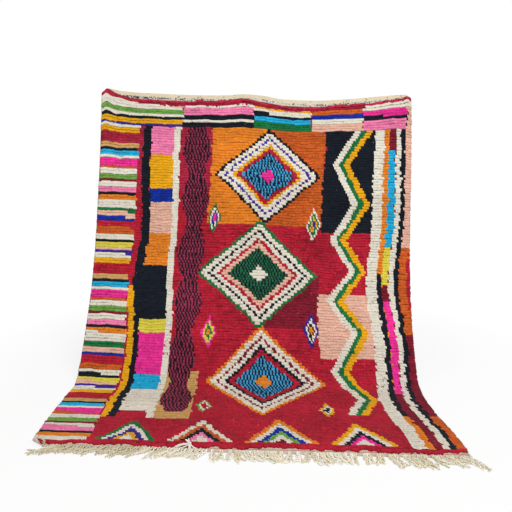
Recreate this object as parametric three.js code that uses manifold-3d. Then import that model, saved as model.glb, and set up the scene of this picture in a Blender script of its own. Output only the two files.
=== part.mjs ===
// A hand-knotted Boujaad rug, hung by its upper end and swept forward onto the floor.
// Millimetres, +X to the right, +Y away from the viewer, +Z up, the floor at Z = 0.
//
// Every piece is laid out on the flat rug first. "along" runs up the warps from the front
// edge of the knotted field, "across" runs from the left selvedge, and "height" is measured
// from the back of the cloth. place() carries such a point to where the hung rug has it.

import * as THREE from 'three';
import { mergeVertices } from 'three/addons/utils/BufferGeometryUtils.js';
import Module from 'manifold-3d';

// ---------------------------------------------------------------- driving dimensions

const WIDTH = 2000; // from selvedge to selvedge, at the loom
const FIELD_LENGTH = 2427; // knotted field, along the warps
const TOP_BAND = 42; // flat-woven end above the field
const FRONT_BAND = 26; // flat-woven end at the fringe
const SELVEDGE = 10; // width of each overcast side cord
const SEAM = 0.4; // space kept between neighbouring pieces

const GROUND = 5; // thickness of the flat-woven ends
const FIELD_THICKNESS = 16; // ground and the pile that lies on it
const SELVEDGE_THICKNESS = 10;
const FRINGE_THICKNESS = 8;
const LAYERS = [0, GROUND, SELVEDGE_THICKNESS, FIELD_THICKNESS]; // heights that edges share

// How steeply the cloth climbs, in degrees, at distances along it: flat on the floor, a wide
// soft bend, then a long lean back to the held edge.
const CLIMB = [
  { along: 0, slope: 0 },
  { along: 540, slope: 0 },
  { along: 640, slope: 30 },
  { along: 720, slope: 52 },
  { along: 900, slope: 58 },
  { along: 1250, slope: 66 },
  { along: 1600, slope: 75 },
  { along: 2600, slope: 77 },
];

// The two long edges aren't parallel or straight: their X at distances along the cloth.
const SIDES = [
  { along: -150, left: -1058, right: 968 },
  { along: 0, left: -1058, right: 962 },
  { along: 130, left: -1061, right: 954 },
  { along: 300, left: -1065, right: 934 },
  { along: 450, left: -1064, right: 930 },
  { along: 600, left: -1056, right: 946 },
  { along: 900, left: -1046, right: 955 },
  { along: 1250, left: -1032, right: 968 },
  { along: 1700, left: -1015, right: 985 },
  { along: 2100, left: -1002, right: 998 },
  { along: 2600, left: -996, right: 1004 },
];

// The upper edge is held just inside both corners and near the middle. It sags between those
// places, and the corners droop. rise is how far the edge stands above its level line.
const HELD_EDGE = [
  { across: 0, rise: 14 },
  { across: 35, rise: 44 },
  { across: 110, rise: 28 },
  { across: 260, rise: 8 },
  { across: 450, rise: -3 },
  { across: 650, rise: -7 },
  { across: 820, rise: -2 },
  { across: 905, rise: 6 },
  { across: 1030, rise: -6 },
  { across: 1180, rise: -36 },
  { across: 1390, rise: -46 },
  { across: 1610, rise: -32 },
  { across: 1780, rise: -14 },
  { across: 1965, rise: 2 },
  { across: 2000, rise: -28 },
];
const LEVEL_LEFT = 45; // the held line itself is higher on the left
const LEVEL_RIGHT = 0;
const SAG_FADE = 260; // how fast the sag dies away down the cloth
const FRONT_SKEW = 44; // left end of the front edge lies this far back, the right end forward

// Soft folds that run down from the held edge. proud is how far each stands out of the face.
const SOFT_FOLDS = [
  { across: 60, half: 130, proud: -9, fade: 520 },
  { across: 390, half: 240, proud: 15, fade: 620 },
  { across: 905, half: 120, proud: -12, fade: 460 },
  { across: 1400, half: 290, proud: 18, fade: 700 },
  { across: 1940, half: 130, proud: -8, fade: 520 },
];

// The front left corner has rolled up: the line where the roll starts lies this far in from
// the corner, square to the roll's direction.
const CURL_RADIUS = 20;
const CURL_REACH = 56;
const CURL_BEARING = THREE.MathUtils.degToRad(55);
const CURL_END = 170; // the roll is over before this distance along the cloth

// Tassels along the front edge, in runs. lean is towards the right in degrees, and gap is
// the share of each tassel's pitch that stays open.
const FRINGE_START = 102; // the rolled corner's own ends lie under it
const FRINGE_SPINE = 9; // depth of the knotted line that the tassels hang from
const SHORT_TASSEL = 0.9; // every second tassel is this much of its full reach
const FRINGE_RUNS = [
  { from: FRINGE_START, to: 700, tassels: 13, leanFrom: -58, leanTo: -24, reach: 92, gap: 0.12 },
  { from: 700, to: 1140, tassels: 9, leanFrom: -18, leanTo: 6, reach: 82, gap: 0.24 },
  { from: 1140, to: 1560, tassels: 7, leanFrom: -8, leanTo: 26, reach: 90, gap: 0.42 },
  { from: 1560, to: 2000, tassels: 7, leanFrom: 28, leanTo: 47, reach: 102, gap: 0.36 },
];

// One bunch of warp ends has flipped up over the front band and lies on the pile.
const TURNED_TASSEL_ACROSS = 715;
const TURNED_TASSEL = [
  { along: -24, under: 5.5, over: 11, half: 9 },
  { along: -12, under: 9, over: 17, half: 11 },
  { along: -2, under: 16.4, over: 24, half: 13 },
  { along: 18, under: 16.4, over: 27, half: 12 },
  { along: 40, under: 16.4, over: 23, half: 20 },
  { along: 60, under: 16.4, over: 20, half: 27 },
];

// Mesh stations: each span is cut into equal steps.
const FIELD_SPANS = [
  { to: 110, steps: 10 },
  { to: 520, steps: 4 },
  { to: 780, steps: 8 },
  { to: 1300, steps: 5 },
  { to: 2050, steps: 5 },
  { to: FIELD_LENGTH, steps: 7 },
];
const ACROSS_SPANS = [
  { to: 120, steps: 11 },
  { to: 860, steps: 7 },
  { to: 960, steps: 2 },
  { to: 1880, steps: 9 },
  { to: WIDTH - SELVEDGE - SEAM, steps: 3 },
];

// ---------------------------------------------------------------- the hung surface

// Value of one column of a table at a place along its first column, by a cubic that never
// overshoots its rows.
function lookUp(table, key, column, at) {
  const last = table.length - 1;
  if (at <= table[0][key]) return table[0][column];
  if (at >= table[last][key]) return table[last][column];
  const i = table.findIndex((row) => row[key] > at) - 1;
  const secant = (k) =>
    (table[k + 1][column] - table[k][column]) / (table[k + 1][key] - table[k][key]);
  const tangent = (k) => {
    if (k === 0 || k === last) return 0;
    const before = secant(k - 1);
    const after = secant(k);
    return before * after <= 0 ? 0 : (2 * before * after) / (before + after);
  };
  const span = table[i + 1][key] - table[i][key];
  const u = (at - table[i][key]) / span;
  const rest = 1 - u;
  return (
    table[i][column] * (1 + 2 * u) * rest * rest +
    table[i + 1][column] * (3 - 2 * u) * u * u +
    span * (tangent(i) * u * rest * rest - tangent(i + 1) * u * u * rest)
  );
}

// The climb added up along the cloth, so that the hung rug keeps its woven length.
const PROFILE_STEP = 5;
const PROFILE_SPARE = 100; // covers the rise of the held edge
const PROFILE_END = FIELD_LENGTH + TOP_BAND + PROFILE_SPARE;
const profile = [{ back: 0, up: 0 }];
for (let along = 0; along < PROFILE_END; along += PROFILE_STEP) {
  const slope = lookUp(CLIMB, 'along', 'slope', along + PROFILE_STEP / 2);
  const angle = THREE.MathUtils.degToRad(slope);
  const { back, up } = profile.at(-1);
  profile.push({
    back: back + PROFILE_STEP * Math.cos(angle),
    up: up + PROFILE_STEP * Math.sin(angle),
  });
}

function profileAt(along) {
  if (along <= 0) return { back: along, up: 0, angle: 0 };
  const i = Math.min(Math.floor(along / PROFILE_STEP), profile.length - 2);
  const u = along / PROFILE_STEP - i;
  return {
    back: THREE.MathUtils.lerp(profile[i].back, profile[i + 1].back, u),
    up: THREE.MathUtils.lerp(profile[i].up, profile[i + 1].up, u),
    angle: THREE.MathUtils.degToRad(lookUp(CLIMB, 'along', 'slope', along)),
  };
}

// How far a row of knots is displaced up the cloth by the uneven hold.
function rowShift(along, across) {
  const side = across / WIDTH;
  const atFront = FRONT_SKEW * (1 - 2 * side);
  const level = THREE.MathUtils.lerp(LEVEL_LEFT, LEVEL_RIGHT, side);
  const sag = lookUp(HELD_EDGE, 'across', 'rise', across) - level;
  const climbed = THREE.MathUtils.clamp(along / FIELD_LENGTH, 0, 1);
  const below = Math.max(FIELD_LENGTH - along, 0);
  return (
    THREE.MathUtils.lerp(atFront, level, climbed) + sag * Math.exp(-below / SAG_FADE)
  );
}

function foldHeight(along, across) {
  const below = Math.max(FIELD_LENGTH - along, 0);
  let proud = 0;
  for (const fold of SOFT_FOLDS) {
    const side = (across - fold.across) / fold.half;
    const down = below / fold.fade;
    proud += fold.proud * Math.exp(-side * side - down * down);
  }
  return proud;
}

function edgeX(along, across) {
  const left = lookUp(SIDES, 'along', 'left', along);
  const right = lookUp(SIDES, 'along', 'right', along);
  return THREE.MathUtils.lerp(left, right, across / WIDTH);
}

// Rolls the front left corner up round a cylinder that lies on the back of the cloth.
const cornerX = edgeX(-FRONT_BAND, 0);
const cornerY = FRONT_SKEW - FRONT_BAND;
const curlX = -Math.cos(CURL_BEARING);
const curlY = -Math.sin(CURL_BEARING);

function rollCorner(x, y, height) {
  const past = (x - cornerX) * curlX + (y - cornerY) * curlY + CURL_REACH;
  if (past <= 0) return new THREE.Vector3(x, y, height);
  const turn = past / CURL_RADIUS;
  const inner = CURL_RADIUS - height;
  const slide = inner * Math.sin(turn) - past;
  return new THREE.Vector3(
    x + curlX * slide,
    y + curlY * slide,
    CURL_RADIUS - inner * Math.cos(turn),
  );
}

function place(along, across, height) {
  const hung = along + rowShift(along, across);
  const { back, up, angle } = profileAt(hung);
  const x = edgeX(hung, across);
  if (up === 0 && along < CURL_END) return rollCorner(x, back, height);
  const out = height + foldHeight(along, across);
  return new THREE.Vector3(
    x,
    back - out * Math.sin(angle),
    up + out * Math.cos(angle),
  );
}

// ---------------------------------------------------------------- solids

function stations(start, spans) {
  const found = [start];
  let from = start;
  for (const { to, steps } of spans) {
    for (let k = 1; k <= steps; k++) found.push(from + ((to - from) * k) / steps);
    from = to;
  }
  return found;
}

// Adds a patch of uCount by vCount quads to a list of triangle corners, facing along u x v.
function addPatch(corners, uCount, vCount, point) {
  for (let u = 0; u < uCount; u++) {
    for (let v = 0; v < vCount; v++) {
      const first = point(u, v);
      const opposite = point(u + 1, v + 1);
      corners.push(first, point(u + 1, v), opposite, first, opposite, point(u, v + 1));
    }
  }
}

// A closed sheet from the places point(row, column, layer), layer 0 being its back.
function gridSolid(rowCount, columnCount, layerCount, point) {
  const rows = rowCount - 1;
  const columns = columnCount - 1;
  const layers = layerCount - 1;
  const corners = [];
  addPatch(corners, columns, rows, (j, i) => point(i, j, layers));
  addPatch(corners, rows, columns, (i, j) => point(i, j, 0));
  addPatch(corners, columns, layers, (j, k) => point(0, j, k));
  addPatch(corners, layers, columns, (k, j) => point(rows, j, k));
  addPatch(corners, layers, rows, (k, i) => point(i, 0, k));
  addPatch(corners, rows, layers, (i, k) => point(i, columns, k));
  const geometry = new THREE.BufferGeometry().setFromPoints(corners);
  return mergeVertices(geometry);
}

function sheet(rows, columns, thickness) {
  const layers = LAYERS.filter((height) => height <= thickness);
  return gridSolid(rows.length, columns.length, layers.length, (i, j, k) =>
    place(rows[i], columns[j], layers[k]),
  );
}

const manifolds = await Module();
manifolds.setup();

function toManifold(geometry) {
  const bare = geometry.clone();
  bare.deleteAttribute('normal');
  bare.deleteAttribute('uv');
  const merged = mergeVertices(bare);
  return new manifolds.Manifold(
    new manifolds.Mesh({
      numProp: 3,
      vertProperties: Float32Array.from(merged.attributes.position.array),
      triVerts: Uint32Array.from(merged.index.array),
    }),
  );
}

function fromManifold(solid) {
  const { vertProperties, triVerts } = solid.getMesh();
  const geometry = new THREE.BufferGeometry();
  geometry.setAttribute('position', new THREE.Float32BufferAttribute(vertProperties, 3));
  geometry.setIndex([...triVerts]);
  return geometry;
}

// ---------------------------------------------------------------- the pieces

const fieldRows = stations(0, FIELD_SPANS);
const topRows = stations(FIELD_LENGTH + SEAM, [{ to: FIELD_LENGTH + TOP_BAND, steps: 2 }]);
const frontRows = stations(-FRONT_BAND, [{ to: -SEAM, steps: 3 }]);
const sideRows = [...frontRows.slice(0, -1), ...fieldRows, ...topRows.slice(1)];
const fieldColumns = stations(SELVEDGE + SEAM, ACROSS_SPANS);
const leftColumns = [0, SELVEDGE];
const rightColumns = [WIDTH - SELVEDGE, WIDTH];

// The fringe: a narrow knotted line under the band, and a flat tapering tassel for each
// bunch of warp ends. Tassels bend further to their side towards the tip.
const TASSEL_STATIONS = [
  { reach: 0, lean: 0, width: 0.86 },
  { reach: 0.3, lean: 0.75, width: 1 },
  { reach: 0.7, lean: 0.95, width: 0.92 },
  { reach: 1, lean: 1.08, width: 0.5 },
];

function fringePoint(across) {
  return place(-FRONT_BAND - SEAM - FRINGE_SPINE / 2, across, 0);
}

function tassel(across, width, lean, reach) {
  const leftSide = [];
  const rightSide = [];
  for (const station of TASSEL_STATIONS) {
    const angle = THREE.MathUtils.degToRad(lean * station.lean);
    const centre = fringePoint(across);
    centre.x += Math.sin(angle) * reach * station.reach;
    centre.y -= Math.cos(angle) * reach * station.reach;
    const half = (width * station.width) / 2;
    leftSide.push(new THREE.Vector2(centre.x - half, centre.y));
    rightSide.push(new THREE.Vector2(centre.x + half, centre.y));
  }
  const outline = new THREE.Shape([...leftSide, ...rightSide.reverse()]);
  return new THREE.ExtrudeGeometry(outline, {
    depth: FRINGE_THICKNESS,
    bevelEnabled: false,
  });
}

function warpFringe() {
  const spineRows = stations(-FRONT_BAND - SEAM - FRINGE_SPINE, [
    { to: -FRONT_BAND - SEAM, steps: 1 },
  ]);
  const underBand = fieldColumns.filter((across) => across > FRINGE_START);
  const spineColumns = [FRINGE_START, ...underBand, WIDTH];
  let comb = toManifold(sheet(spineRows, spineColumns, GROUND));
  for (const run of FRINGE_RUNS) {
    const pitch = (run.to - run.from) / run.tassels;
    for (let k = 0; k < run.tassels; k++) {
      const share = (k + 0.5) / run.tassels;
      const lean = THREE.MathUtils.lerp(run.leanFrom, run.leanTo, share);
      const width = pitch * (1 - run.gap);
      const reach = run.reach * (k % 2 ? SHORT_TASSEL : 1);
      const blade = tassel(run.from + pitch * (k + 0.5), width, lean, reach);
      comb = comb.add(toManifold(blade));
    }
  }
  return fromManifold(comb);
}

function turnedBackTassel() {
  const sides = [-1, 0, 1];
  return gridSolid(TURNED_TASSEL.length, sides.length, 2, (i, j, layer) => {
    const { along, under, over, half } = TURNED_TASSEL[i];
    const across = TURNED_TASSEL_ACROSS + sides[j] * half;
    const crown = sides[j] === 0 ? over : (under + over) / 2;
    return place(along, across, layer ? crown : under);
  });
}

const WOOL = { roughness: 0.95, metalness: 0 };
const pieces = [
  { name: 'pile_field', colour: '#a81f36', solid: sheet(fieldRows, fieldColumns, FIELD_THICKNESS) },
  { name: 'kilim_band_top', colour: '#d9c9a8', solid: sheet(topRows, fieldColumns, GROUND) },
  { name: 'kilim_band_front', colour: '#cdb9a3', solid: sheet(frontRows, fieldColumns, GROUND) },
  { name: 'selvedge_left', colour: '#8a4a34', solid: sheet(sideRows, leftColumns, SELVEDGE_THICKNESS) },
  { name: 'selvedge_right', colour: '#8a4a34', solid: sheet(sideRows, rightColumns, SELVEDGE_THICKNESS) },
  { name: 'warp_fringe', colour: '#ddd0ae', solid: warpFringe() },
  { name: 'turned_back_tassel', colour: '#e2d6ba', solid: turnedBackTassel() },
];

const rug = new THREE.Group();
for (const { name, colour, solid } of pieces) {
  solid.computeVertexNormals();
  const mesh = new THREE.Mesh(solid, new THREE.MeshStandardMaterial({ color: colour, ...WOOL }));
  mesh.name = name;
  rug.add(mesh);
}

// The origin is on the floor, under the middle of the whole rug.
const middle = new THREE.Box3().setFromObject(rug).getCenter(new THREE.Vector3());
rug.position.set(-middle.x, -middle.y, 0);

export default rug;
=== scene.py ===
# A hand-knotted Boujaad rug, hung by its upper end and swept forward onto the floor.
# Metres, +X to the right, +Y away from the viewer, +Z up, the floor at Z = 0. Every piece is
# laid out on the flat rug, as it comes off the loom, and place() carries it to where it hangs.

import math

import bpy
import numpy as np
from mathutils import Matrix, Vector


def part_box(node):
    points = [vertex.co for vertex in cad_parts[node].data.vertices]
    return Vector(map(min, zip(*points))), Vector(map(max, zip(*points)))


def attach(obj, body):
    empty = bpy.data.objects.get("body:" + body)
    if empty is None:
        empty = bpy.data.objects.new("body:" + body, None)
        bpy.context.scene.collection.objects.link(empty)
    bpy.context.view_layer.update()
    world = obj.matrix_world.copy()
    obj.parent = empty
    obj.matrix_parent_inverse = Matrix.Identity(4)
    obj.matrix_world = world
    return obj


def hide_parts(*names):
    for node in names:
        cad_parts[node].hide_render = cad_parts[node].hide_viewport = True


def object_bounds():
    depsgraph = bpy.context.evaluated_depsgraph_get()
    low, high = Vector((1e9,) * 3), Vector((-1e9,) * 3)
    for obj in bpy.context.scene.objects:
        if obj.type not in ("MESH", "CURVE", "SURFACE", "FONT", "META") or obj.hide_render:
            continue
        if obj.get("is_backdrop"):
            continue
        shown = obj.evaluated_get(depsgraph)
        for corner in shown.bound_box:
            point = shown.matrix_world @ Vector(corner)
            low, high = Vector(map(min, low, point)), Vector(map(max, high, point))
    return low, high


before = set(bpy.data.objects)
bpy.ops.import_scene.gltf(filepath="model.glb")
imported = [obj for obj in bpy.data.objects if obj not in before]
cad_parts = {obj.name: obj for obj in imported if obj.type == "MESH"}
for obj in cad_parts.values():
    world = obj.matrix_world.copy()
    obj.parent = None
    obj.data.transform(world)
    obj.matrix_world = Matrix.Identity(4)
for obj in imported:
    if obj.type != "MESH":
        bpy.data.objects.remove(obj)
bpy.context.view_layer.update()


# ====================================================================== woven ground
# The foundation: wool warps with shots of weft beaten down between the rows of knots, one thin
# sheet that hangs, bends and lies as the whole rug does. Its weave shows only on the back, where
# each knot is a small coloured nub between lines of weft.

WIDTH = 2.000
FIELD_LENGTH = 2.427
TOP_BAND = 0.042
FRONT_BAND = 0.026
SELVEDGE = 0.010
SEAM = 0.0004
GROUND_THICKNESS = 0.0050
WEFT_DEPTH = 0.0014  # how far the wefts lie below the knots, on the back

# Distance along the cloth, and how steeply it climbs there in degrees.
CLIMB = (
    (0, 0), (0.540, 0), (0.640, 30), (0.720, 52), (0.900, 58), (1.250, 66), (1.600, 75), (2.600, 77),
)
# Distance along the cloth, and X of its left and right edges.
SIDES = (
    (-0.150, -1.058, 0.968), (0, -1.058, 0.962), (0.130, -1.061, 0.954), (0.300, -1.065, 0.934),
    (0.450, -1.064, 0.930), (0.600, -1.056, 0.946), (0.900, -1.046, 0.955), (1.250, -1.032, 0.968),
    (1.700, -1.015, 0.985), (2.100, -1.002, 0.998), (2.600, -0.996, 1.004),
)
# Distance across, and how far the held edge stands above its level line.
HELD_EDGE = (
    (0, 0.014), (0.035, 0.044), (0.110, 0.028), (0.260, 0.008), (0.450, -0.003), (0.650, -0.007),
    (0.820, -0.002), (0.905, 0.006), (1.030, -0.006), (1.180, -0.036), (1.390, -0.046),
    (1.610, -0.032), (1.780, -0.014), (1.965, 0.002), (2.000, -0.028),
)
LEVEL_LEFT = 0.045
LEVEL_RIGHT = 0
SAG_FADE = 0.260
FRONT_SKEW = 0.044
# Distance across, half width, how proud of the face, and how far down each soft fold fades.
SOFT_FOLDS = (
    (0.060, 0.130, -0.009, 0.520), (0.390, 0.240, 0.015, 0.620), (0.905, 0.120, -0.012, 0.460),
    (1.400, 0.290, 0.018, 0.700), (1.940, 0.130, -0.008, 0.520),
)
CURL_RADIUS = 0.020
CURL_REACH = 0.056
CURL_BEARING = math.radians(55)
CURL_END = 0.170


def look_up(table, column, at):
    """A column of a table at a place along its first one, by a cubic that never overshoots."""
    keys, values = np.array(table, float)[:, (0, column)].T
    at = np.clip(at, keys[0], keys[-1])
    secants = np.diff(values) / np.diff(keys)
    before = secants[:-1]
    after = secants[1:]
    turns = before * after <= 0
    total = np.where(turns, 1, before + after)
    tangents = np.concatenate(([0], np.where(turns, 0, 2 * before * after / total), [0]))
    i = np.clip(np.searchsorted(keys, at, side="right") - 1, 0, len(keys) - 2)
    span = keys[i + 1] - keys[i]
    u = (at - keys[i]) / span
    rest = 1 - u
    return (
        values[i] * (1 + 2 * u) * rest**2
        + values[i + 1] * (3 - 2 * u) * u**2
        + span * (tangents[i] * u * rest**2 - tangents[i + 1] * u**2 * rest)
    )


def summed(steps):
    """The sums of ever more steps, from none of them to all."""
    return np.concatenate(([0], np.cumsum(steps)))


# The climb added up along the cloth, so that the hung rug keeps its woven length.
PROFILE_STEP = 0.005
PROFILE_END = FIELD_LENGTH + TOP_BAND + 0.100  # with room for the rise of the held edge
profile_along = np.arange(0, PROFILE_END, PROFILE_STEP)
profile_angle = np.radians(look_up(CLIMB, 1, profile_along + PROFILE_STEP / 2))
profile_back = summed(np.cos(profile_angle)) * PROFILE_STEP
profile_up = summed(np.sin(profile_angle)) * PROFILE_STEP
profile_marks = np.arange(len(profile_back)) * PROFILE_STEP


def row_shift(along, across):
    """How far a row of knots is displaced up the cloth by the uneven hold."""
    share = across / WIDTH
    at_front = FRONT_SKEW * (1 - 2 * share)
    level = LEVEL_LEFT + (LEVEL_RIGHT - LEVEL_LEFT) * share
    sag = look_up(HELD_EDGE, 1, across) - level
    climbed = np.clip(along / FIELD_LENGTH, 0, 1)
    below = np.maximum(FIELD_LENGTH - along, 0)
    return at_front + (level - at_front) * climbed + sag * np.exp(-below / SAG_FADE)


def fold_height(along, across):
    """How proud of the face the soft folds stand."""
    below = np.maximum(FIELD_LENGTH - along, 0)
    proud = 0
    for middle, half, height, fade in SOFT_FOLDS:
        proud = proud + height * np.exp(-(((across - middle) / half) ** 2) - (below / fade) ** 2)
    return proud


def edge_x(along, share):
    """X at a share of the way from the left edge to the right."""
    left = look_up(SIDES, 1, along)
    return left + (look_up(SIDES, 2, along) - left) * share


corner_x = edge_x(-FRONT_BAND, 0)
corner_y = FRONT_SKEW - FRONT_BAND
shift = np.zeros(3)  # from the flat rug's own origin to the frame's, found below


def place(along, across, height):
    """Where the hung rug has a point of the flat one. All three may be arrays."""
    along, across, height = np.broadcast_arrays(
        np.asarray(along, float), np.asarray(across, float), np.asarray(height, float)
    )
    hung = along + row_shift(along, across)
    back = np.where(hung <= 0, hung, np.interp(hung, profile_marks, profile_back))
    up = np.interp(hung, profile_marks, profile_up)
    angle = np.radians(look_up(CLIMB, 1, hung))
    out = height + np.where(up > 0, fold_height(along, across), 0)
    x = edge_x(hung, across / WIDTH)
    y = back - out * np.sin(angle)
    z = up + out * np.cos(angle)
    # the front left corner is rolled up round a cylinder that lies on the face
    curl_x, curl_y = -math.cos(CURL_BEARING), -math.sin(CURL_BEARING)
    past = (x - corner_x) * curl_x + (y - corner_y) * curl_y + CURL_REACH
    rolled = (up == 0) & (along < CURL_END) & (past > 0)
    inner = CURL_RADIUS - height
    turn = past / CURL_RADIUS
    slide = np.where(rolled, inner * np.sin(turn) - past, 0)
    z = np.where(rolled, CURL_RADIUS - inner * np.cos(turn), z)
    return np.stack((x + curl_x * slide, y + curl_y * slide, z), axis=-1) + shift


band_low, band_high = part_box("kilim_band_front")
front_right = place(-FRONT_BAND, WIDTH - SELVEDGE - SEAM, 0)
shift[:2] = band_high.x - front_right[0], band_low.y - front_right[1]


def linear(hex_colour):
    """An sRGB hex colour as the linear red, green and blue that the shaders take."""
    srgb = np.array([int(hex_colour[i : i + 2], 16) for i in (1, 3, 5)]) / 255
    return np.where(srgb <= 0.04045, srgb / 12.92, ((srgb + 0.055) / 1.055) ** 2.4)


# Wool dyed in small pots, so every yarn is full and a little uneven.
YARNS = {
    "crimson": "#AE1E32", "cherry": "#A5243D", "garnet": "#7E1A2C", "scarlet": "#B22840",
    "claret": "#981C34",
    "ivory": "#DCD6C6", "peach": "#DEAE99", "sand": "#C69A5E",
    "orange": "#DC7E25", "rust": "#C25A22", "mustard": "#E2A316", "lemon": "#D4C645",
    "magenta": "#E43090", "rose": "#EA7CA8",
    "ink": "#141A24", "cobalt": "#102D94", "violet": "#3D288E", "sky": "#1FA6D2",
    "green": "#1A6F3D", "leaf": "#6C9E46", "bottle": "#1C6440",
    "teal": "#4297C4", "navy": "#0A1E36", "plum": "#8E304C", "wine": "#1E131B",
}
YARN_NAMES = list(YARNS)
yarn_colours = np.array([linear(colour) for colour in YARNS.values()])


def waves(table, across, along):
    """Waves added up: the reach of each, its turn for each metre across and along, its start."""
    return sum(reach * np.sin(over * across + up * along + start) for reach, over, up, start in table)


# The design, knot by knot. It is drawn as a weaver draws it, in counted lines that wander, from
# the right-hand edge, where each row begins.
ROWS = 143
KNOTS = 203
ROW_PITCH = FIELD_LENGTH / ROWS
KNOT_PITCH = (WIDTH - 2 * SELVEDGE) / KNOTS
FIGURE_DRIFT = ((0.010, 0, 3.1, 0.8), (0.006, 4, 8.3, 0))
weaver = np.random.default_rng(11)
row_number, knot_number = np.meshgrid(np.arange(ROWS), np.arange(KNOTS), indexing="ij")
up_rug = (row_number + 0.5) * ROW_PITCH
side = WIDTH - SELVEDGE - (knot_number + 0.5) * KNOT_PITCH
side = side + waves(FIGURE_DRIFT, side, up_rug)
design = np.full((ROWS, KNOTS), YARN_NAMES.index("crimson"))


def between_marks(marks, step, count):
    """Values at so many places in a row, from marks that stand step places apart."""
    return np.interp(np.arange(count) / step, np.arange(len(marks)), marks)


def wander(reach, stretch=18):
    """A slow sideways wander of a line, which turns every few rows, and the last knot's slip."""
    slow = between_marks(weaver.uniform(-reach, reach, ROWS // stretch + 3), stretch, ROWS)
    return (slow + weaver.uniform(-0.5, 0.5, ROWS) * KNOT_PITCH)[:, None]


def zigzag(at, period):
    """From -1 to 1 and back in each period."""
    return 4 * np.abs(at / period - np.floor(at / period + 0.5)) - 1


SLIPS = 0.05  # the share of knots at which the plies of a mottled yarn slip by one
SLIP_SLANT = 5  # knots by which the slips move over from row to row


def knot(where, *names):
    """Knots these places in one yarn, or in a mottled one, whose plies show by turns."""
    chance = weaver.random(design.shape)
    slips = np.cumsum(chance[0][(knot_number + SLIP_SLANT * row_number) % KNOTS] < SLIPS, axis=1)
    ply = (row_number + knot_number - slips) % len(names)
    for index, name in enumerate(names):
        design[where & (ply == index)] = YARN_NAMES.index(name)


def upright(left, right, low, high, *names):
    """A cord or panel up the rug. Its sides may be one number each, or one for each row."""
    knot((side > left) & (side < right) & (up_rug > low) & (up_rug < high), *names)


BAR_WANDER = 0.004
LATE_BARS = 0.4  # the share of bars that start a row late part of the way along


def yarn_list(text):
    """The items of a list of yarns, each a number and the names that go with it."""
    return [(float(number), *names) for number, *names in map(str.split, text.split(","))]


def bars(left, right, low, high, text):
    """Bars across, one on another from low to high. Their list gives rows of knots, each with a yarn."""
    courses = yarn_list(text)
    left = left + wander(BAR_WANDER)
    right = right + wander(BAR_WANDER)
    row = round(low / ROW_PITCH)
    last = round(high / ROW_PITCH)
    turn = 0
    while row < last:
        rows, name = courses[turn % len(courses)]
        top = min(row + rows, last)
        late = rows > 1 and turn > 0 and weaver.random() < LATE_BARS
        start = row * ROW_PITCH + late * ROW_PITCH * (side > weaver.uniform(left.min(), right.max()))
        upright(left, right, start, top * ROW_PITCH, name)
        if late:
            before = courses[(turn - 1) % len(courses)][1]
            upright(left, right, row * ROW_PITCH, start, before)
        row = top
        turn += 1


def lozenge(middle, height, half_side, half_up, text):
    """A nested lozenge. Its list gives shares of its size, from the outside in, with yarns."""
    sideways = side + wander(0.010, stretch=10) - middle
    reach = half_side * (1 + np.where(sideways > 0, wander(0.07, stretch=9), wander(0.07, stretch=9)))
    out = np.abs(sideways) / reach + np.abs(up_rug - height) / half_up
    for share, *names in yarn_list(text):
        knot(out < share, *names)


# Panels of plain ground behind the figures.
for left, right, low, high, name in (
    (0.240, 0.570, 1.580, 2.260, "ink"), (0.240, 0.570, 0.800, 1.180, "peach"),
    (0.570, 0.930, 1.620, 2.260, "rust"), (0.930, 1.290, 1.620, 2.260, "orange"),
    (0.570, 0.900, 0.960, 1.300, "garnet"), (1.290, 1.480, 0.240, 0.700, "sand"),
):
    upright(left + wander(0.006), right + wander(0.006), low, high, name)

# Right border: cords of colour run up the rug, and change yarn on the way.
border = wander(0.016)
OVERLAP = 0.012  # under the next cord, which is drawn over this one
for left, right, low, high, name in (
    (0.000, 0.052, 0.00, 2.40, "rust"), (0.000, 0.052, 0.30, 0.95, "garnet"),
    (0.000, 0.052, 1.50, 2.40, "peach"), (0.050, 0.080, 0.00, 2.40, "ink"),
    (0.078, 0.114, 0.00, 2.40, "ivory"), (0.112, 0.158, 0.00, 2.40, "garnet"),
    (0.112, 0.158, 0.55, 1.15, "magenta"), (0.112, 0.158, 1.25, 1.50, "lemon"),
    (0.112, 0.158, 1.50, 2.10, "sky"), (0.156, 0.190, 0.00, 2.40, "orange"),
    (0.156, 0.190, 0.30, 1.32, "ink"), (0.188, 0.240, 0.00, 2.40, "ivory"),
):
    upright(left + border + wander(0.002), right + border + OVERLAP, low, high, name)

# A zigzag of three yarns beside it, whose turns come a little early or late.
FIGURES_FROM = 0.30
FIGURES_TO = 2.24
ZIGZAG_MIDDLE = 0.405
ZIGZAG_REACH = 0.070
ZIGZAG_PERIOD = 0.43
turns_at = up_rug - 0.06 + 0.03 * np.sin(5 * up_rug)
swing = ZIGZAG_MIDDLE + ZIGZAG_REACH * zigzag(turns_at, ZIGZAG_PERIOD)
for left, right, name in (
    (-0.072, -0.030, "mustard"), (-0.032, 0.002, "green"), (0.000, 0.040, "ivory"),
):
    slip = wander(0.004)
    far_side = swing + right + slip + OVERLAP * (name != "ivory")
    upright(swing + left + slip, far_side, FIGURES_FROM, FIGURES_TO, name)

# The chain of great lozenges, each with a mottled heart.
for middle, height, half_side, half_up, frames, hearts in (
    (0.905, 0.630, 0.345, 0.350, "1 orange, 0.93 ivory, 0.82 garnet, 0.77 ivory, 0.67 ink",
     "0.60 crimson, 0.50 teal navy, 0.15 orange"),
    (0.945, 1.300, 0.370, 0.345, "1 green, 0.93 ivory, 0.82 ink, 0.77 ivory, 0.67 crimson",
     "0.60 peach, 0.50 bottle ink, 0.15 ivory"),
    (0.925, 1.930, 0.335, 0.310, "1 ink, 0.93 ivory, 0.82 violet, 0.77 ivory, 0.67 mustard",
     "0.60 crimson, 0.50 teal navy, 0.15 magenta"),
):
    lozenge(middle, height, half_side, half_up, frames + "," + hearts)

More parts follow.
